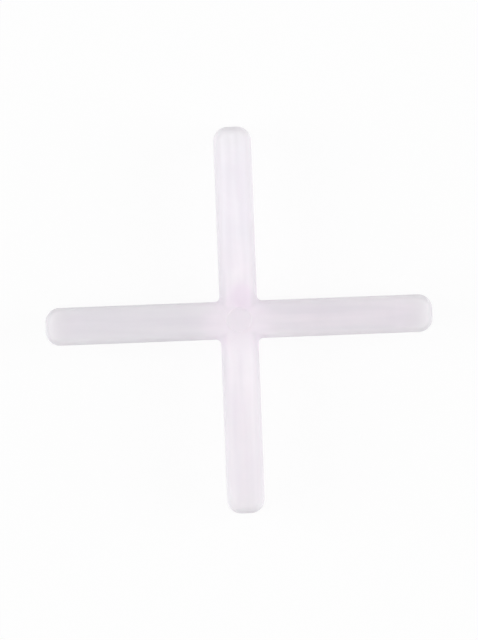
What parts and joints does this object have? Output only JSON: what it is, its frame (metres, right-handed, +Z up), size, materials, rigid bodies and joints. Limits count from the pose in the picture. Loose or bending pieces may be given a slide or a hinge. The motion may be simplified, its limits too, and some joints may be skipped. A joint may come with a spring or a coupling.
{
  "type": "tile spacer",
  "caption": "Moulded plastic cross that sits in the corner between floor or wall tiles and sets an even joint, with equal arms, rounded tips and rounded edges.",
  "frame": {"origin": "on the underside, at the middle of the hub where the four arms cross", "axes": "+Z up through the hub, from the face it rests on to the rounded upper edges; the arms lie along +X, -X, +Y and -Y"},
  "size_m": [0.0206, 0.0206, 0.0035],
  "materials": {
    "spacer": "translucent milky white, satin moulded surface"
  },
  "bodies": {
    "root": {"spacer": "spacer"}
  },
  "joints": []
}
